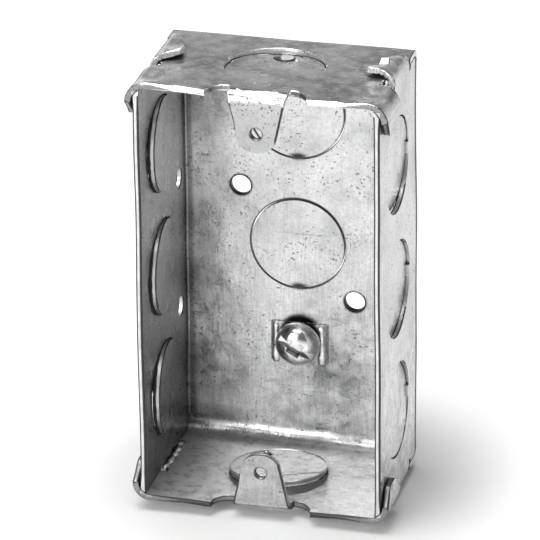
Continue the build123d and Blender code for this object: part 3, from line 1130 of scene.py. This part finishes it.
def thread_radius(crest, along):
    """The radius of a screw thread at a height, as a function of the turn."""
    def radius_at(turn):
        phase = (along / thread_pitch + turn / math.tau) % 1
        return crest - thread_depth * abs(2 * phase - 1)
    return radius_at


def block_mesh(name, width, height, depth):
    """A block for cutting."""
    shape = bmesh.new()
    bmesh.ops.create_cube(shape, size=1, matrix=Matrix.Diagonal((width, height, depth, 1)))
    return finished_mesh(name, shape)


def screw_mesh():
    """The screw in its place, with the slot and the recess cut into its head."""
    rows = [(lambda turn, radius=radius: radius * mm, along * mm) for radius, along in head_profile]
    shank_length = shank_end_y - seat_y
    steps = round(shank_length / thread_pitch * thread_rows)
    for step in range(steps + 1):
        along = -shank_length * step / steps
        rows.append((thread_radius(shank_radius, along), along))
    blank = bpy.data.objects.new("screw_blank", finished_mesh("screw_blank", lathe(rows, screw_sides)))
    bpy.context.scene.collection.objects.link(blank)
    helpers = [blank]
    for name, (length, width, depth) in head_cuts.items():
        cutter = bpy.data.objects.new(name, block_mesh(name, length, width, 2 * depth))
        cutter.location.z = crown
        bpy.context.scene.collection.objects.link(cutter)
        cut = blank.modifiers.new(name, "BOOLEAN")
        cut.operation = "DIFFERENCE"
        cut.object = cutter
        helpers.append(cutter)
    bpy.context.view_layer.update()
    seen = bpy.context.evaluated_depsgraph_get()
    finished = bpy.data.meshes.new_from_object(blank.evaluated_get(seen))
    for helper in helpers:
        bpy.data.objects.remove(helper)
    finished.name = "earthing_screw"
    finished.materials.clear()
    seat = Matrix.Translation((screw_axis_x, seat_y, screw_axis_z))
    facing_front = Matrix.Rotation(math.radians(90), 4, "X")
    finished.transform(seat @ facing_front @ Matrix.Rotation(-slot_turn, 4, "Z"))
    return finished


def bright_plating():
    """Bright zinc plating with dull blots, a few specks, and painted shade in the slot."""
    material, tree, shader, where = new_material("bright_plating")
    mottle = use_group(tree, zinc_mottle, Vector=where)
    dirt = use_group(tree, specks, Vector=where, Size=screw_dirt_size, Level=screw_dirt_level)["Mask"]
    # Painted shade in the slot and the recess.
    crevice_shade_mask = use_group(tree, crevice_shade, Reach=screw_shade_reach)["Mask"]
    tone = colour_mix(tree, mottle["Blots"], dull_plating, clear_plating)
    tone = colour_mix(tree, multiplied(tree, dirt, screw_dirt_share), tone, screw_dirt_grey)
    tone = colour_mix(tree, multiplied(tree, crevice_shade_mask, screw_shade_share), tone, screw_shade_black)
    feed(tree, shader["Base Color"], tone)
    shader["Metallic"].default_value = 1.0
    roughness = maths(tree, "MULTIPLY_ADD", mottle["Blots"], plating_blot_roughness, plating_roughness)
    feed(tree, shader["Roughness"], roughness)
    raise_surface(tree, shader, mottle["Blots"], plating_relief)
    return material


screw = place("earthing_screw", screw_mesh(), "screw", "plated_screw", bright_plating())
softening = screw.modifiers.new("softened edges", "BEVEL")
softening.limit_method = "ANGLE"
softening.angle_limit = softened_angle
softening.width = softened_width
softening.segments = round_segments
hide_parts("ground_screw")

# The threads in the ears
# The tapped hole in each ear, which takes the screw of a wiring device. The thread is cut straight
# into the sheet, so it is as long as the sheet is thick.

ear_front_y = -37.8 * mm
hole_radius = 1.65 * mm
thread_clearance = 0.01 * mm
thread_inset = 0.06 * mm
thread_sides = 40
wall_bite = 0.08 * mm
ear_holes = {"ear_thread_top": ear_hole_height, "ear_thread_bottom": -ear_hole_height}


def tapped_thread():
    """A ring with a thread round its inside, along +Z from zero."""
    length = sheet_thickness - 2 * thread_inset
    steps = round(length / thread_pitch * thread_rows)
    outer = hole_radius + wall_bite
    rows = [(lambda turn: outer, 0.0)]
    for step in range(steps + 1):
        along = length * step / steps
        rows.append((thread_radius(hole_radius - thread_clearance, along), along))
    rows.append((lambda turn: outer, length))
    shape = lathe(rows, thread_sides)
    ends = [face for face in shape.faces if len(face.verts) > 4]
    bmesh.ops.delete(shape, geom=ends, context="FACES_ONLY")
    outer_rings = [edge for edge in shape.edges if edge.is_boundary]
    bmesh.ops.bridge_loops(shape, edges=outer_rings)
    bmesh.ops.recalc_face_normals(shape, faces=shape.faces)
    return finished_mesh("ear_thread", shape)


# The thread is a shaded grey, painted shade inside the ear's hole.
thread_steel = bare_edge("thread_steel", shade_grey_zinc, (), sheared_roughness)
for name, height in ear_holes.items():
    thread = tapped_thread()
    spot = Vector((0, ear_front_y + thread_inset, height))
    into_ear = Matrix.Rotation(math.radians(-90), 4, "X")
    thread.transform(Matrix.Translation(spot) @ into_ear)
    thread.transform(Matrix.Translation(press(spot) - spot))
    place(name, thread, "box", "galvanised_steel", thread_steel)

# The studio
# A plain white floor under two soft lamps, in surroundings that are white near the floor and grey above.
# The floor is white to the camera and in reflections, and keeps the soft shadow of the box.

floor_half = 4.0
floor_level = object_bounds()[0].z
floor_paint = (0.9, 0.9, 0.9, 1)
floor_roughness = 0.9
white = (1, 1, 1, 1)
shadow_middle = (0, -19 * mm, floor_level)
# How strongly the floor shows white: by the distance from the box, and further back by how far behind it.
near_white = (34 * mm, 66 * mm, 0.0, 0.34)
far_white = (0.3, 0.8, 0.0, 0.5)
# The brightness of the surroundings by how steeply one looks up.
wall_brightness = (0.05, 0.26, 1.0, 0.2)
# Where each lamp stands, how wide it is, and its power in watts.
soft_lamps = {
    "overhead": ((-0.1, -0.2, 0.9), 0.75, 8),
    "front": ((-0.42, -1.1, 0.5), 0.7, 6),
}


def white_floor():
    """Pale paint that shows white a little way from the box."""
    material, tree, shader, where = new_material("white_floor")
    shader["Base Color"].default_value = floor_paint
    shader["Roughness"].default_value = floor_roughness
    path = add_node(tree, "ShaderNodeLightPath").outputs
    rays = ("Is Camera Ray", "Is Glossy Ray", "Is Transmission Ray")
    seen = highest_of(tree, *(path[ray] for ray in rays))
    from_box = add_node(tree, "ShaderNodeVectorMath", operation="DISTANCE")
    feed(tree, from_box.inputs[0], where)
    from_box.inputs[1].default_value = shadow_middle
    near = between(tree, from_box.outputs["Value"], *near_white)
    far = between(tree, along_axes(tree, where)[1], *far_white)
    shader["Emission Color"].default_value = white
    feed(tree, shader["Emission Strength"], multiplied(tree, seen, maths(tree, "ADD", near, far)))
    return material


def studio_floor():
    """A wide floor that just touches the lowest point of the box."""
    corners = [(-1, -1), (1, -1), (1, 1), (-1, 1)]
    spots = [(x * floor_half, y * floor_half, floor_level) for x, y in corners]
    mesh = bpy.data.meshes.new("floor")
    mesh.from_pydata(spots, [], [(0, 1, 2, 3)])
    mesh.materials.append(white_floor())
    floor = bpy.data.objects.new("floor", mesh)
    bpy.context.scene.collection.objects.link(floor)


def soft_lamp(name, stands_at, size, power):
    """A square soft lamp that faces the box."""
    lamp = bpy.data.lights.new(name, "AREA")
    lamp.size = size
    lamp.energy = power
    stand = bpy.data.objects.new(name, lamp)
    bpy.context.scene.collection.objects.link(stand)
    stand.location = stands_at
    stand.rotation_euler = (-Vector(stands_at)).to_track_quat("-Z", "Y").to_euler()


def pale_wall():
    """Surroundings that are white near the floor and grey above."""
    world = bpy.data.worlds.new("studio")
    world.use_nodes = True
    tree = world.node_tree
    upward = along_axes(tree, add_node(tree, "ShaderNodeTexCoord").outputs["Generated"])[2]
    feed(tree, tree.nodes["Background"].inputs["Color"], between(tree, upward, *wall_brightness))
    bpy.context.scene.world = world


studio_floor()
for name, (stands_at, size, power) in soft_lamps.items():
    soft_lamp(name, stands_at, size, power)
pale_wall()
bpy.context.scene.view_settings.view_transform = "Standard"

# The camera
# A long lens a little above the box and to its right, as in the photograph. It is turned a little about
# its own axis and slid sideways, so that the box lies in the picture as it does there.

sensor_width = 36
focal_length = 332.39
nearest_seen = 0.1
farthest_seen = 20
camera_distance = 1135.74 * mm
camera_azimuth = math.radians(14.84)
camera_elevation = math.radians(23.80)
camera_roll = math.radians(-0.615)
camera_aim = Vector((0, -18.24 * mm, 0))
camera_slide = (-2.2086 * mm, 0.5349 * mm)

level = math.cos(camera_elevation)
rightward = math.sin(camera_azimuth) * level
frontward = math.cos(camera_azimuth) * level
backwards = Vector((rightward, -frontward, math.sin(camera_elevation)))
level_right = Vector((0, 0, 1)).cross(backwards).normalized()
level_up = backwards.cross(level_right)
rightwards = math.cos(camera_roll) * level_right + math.sin(camera_roll) * level_up
upwards = math.cos(camera_roll) * level_up - math.sin(camera_roll) * level_right
lens = bpy.data.cameras.new("camera")
lens.sensor_width = sensor_width
lens.lens = focal_length
lens.clip_start = nearest_seen
lens.clip_end = farthest_seen
camera = bpy.data.objects.new("camera", lens)
bpy.context.scene.collection.objects.link(camera)
turned = Matrix((rightwards, upwards, backwards)).transposed().to_4x4()
stand_at = camera_aim + backwards * camera_distance
stand_at += rightwards * camera_slide[0] + upwards * camera_slide[1]
camera.matrix_world = Matrix.Translation(stand_at) @ turned
bpy.context.scene.camera = camera
